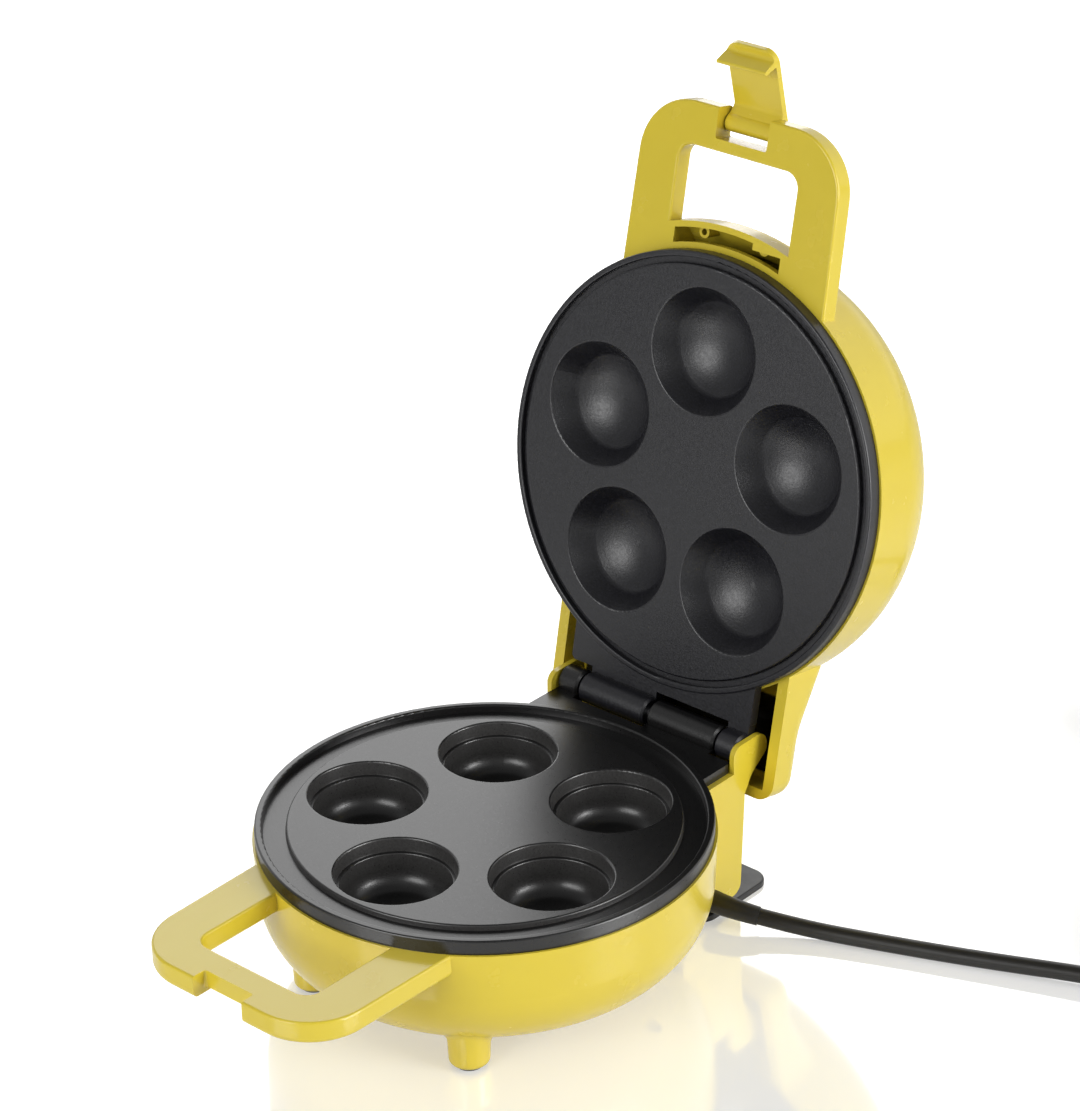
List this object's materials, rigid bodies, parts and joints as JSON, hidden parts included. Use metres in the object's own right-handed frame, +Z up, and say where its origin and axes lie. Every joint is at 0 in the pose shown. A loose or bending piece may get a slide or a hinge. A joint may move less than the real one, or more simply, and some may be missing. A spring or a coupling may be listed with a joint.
{
  "type": "mini cupcake maker",
  "caption": "Small countertop electric cupcake maker with a hinged domed lid, cup and dome plates, loop handles, a snap latch and a coiled mains cord.",
  "frame": {"origin": "on the standing surface, under the middle of the opened cooker's box without its cord", "axes": "+X to the right, -Y towards the handles, +Z up; the lid is open at rest"},
  "size_m": [0.365, 0.4845, 0.3387],
  "materials": {
    "yellow_plastic": "glossy moulded plastic",
    "nonstick_black": "cast aluminium with a semi-gloss non-stick coat",
    "nonstick_charcoal": "cast aluminium with a fine speckled non-stick coat",
    "heater_steel": "dull sheathed tube",
    "sheet_steel": "bright sheet",
    "zinc_steel": "zinc plated",
    "pad_rubber": "soft matt",
    "black_plastic": "satin",
    "thermostat_ceramic": "ceramic body with a metal flange",
    "white_plastic": "satin",
    "black_cord": "smooth flexible sheath",
    "tie_strap": "soft satin",
    "nickel_pins": "nickel plated brass",
    "red_lens": "clear tinted",
    "green_lens": "clear tinted",
    "lamp_glass": "clear glass"
  },
  "bodies": {
    "base": {"base_shell": "yellow_plastic", "lower_plate": "nonstick_black", "lower_heater": "heater_steel", "lower_reflector": "sheet_steel", "lower_plate_screws": "zinc_steel", "front_foot_pads": "pad_rubber", "rear_foot": "black_plastic", "rear_foot_screws": "zinc_steel", "hinge_pin": "zinc_steel", "thermostat": "thermostat_ceramic", "thermostat_screws": "zinc_steel", "terminal_block": "white_plastic", "strain_relief": "black_cord", "power_cord": "black_cord", "cord_coil": "black_cord", "cord_tie": "tie_strap", "cord_tail": "black_cord", "plug_body": "black_cord", "plug_pins": "nickel_pins"},
    "lid": {"lid_shell": "yellow_plastic", "upper_plate": "nonstick_charcoal", "upper_heater": "heater_steel", "upper_reflector": "sheet_steel", "power_lens": "red_lens", "ready_lens": "green_lens", "indicator_lamps": "lamp_glass", "latch_pin": "zinc_steel"},
    "latch": {"latch": "yellow_plastic"}
  },
  "joints": [
    {"name": "lid_hinge", "type": "hinge", "parent": "base", "child": "lid", "pos_m": [0, 0.0789, 0.06815], "axis": [1, 0, 0], "range_deg": [0, 101.6]},
    {"name": "latch_pivot", "type": "hinge", "parent": "lid", "child": "latch", "pos_m": [0, 0.1417, 0.30373], "axis": [1, 0, 0], "range_deg": [-30, 66]}
  ]
}
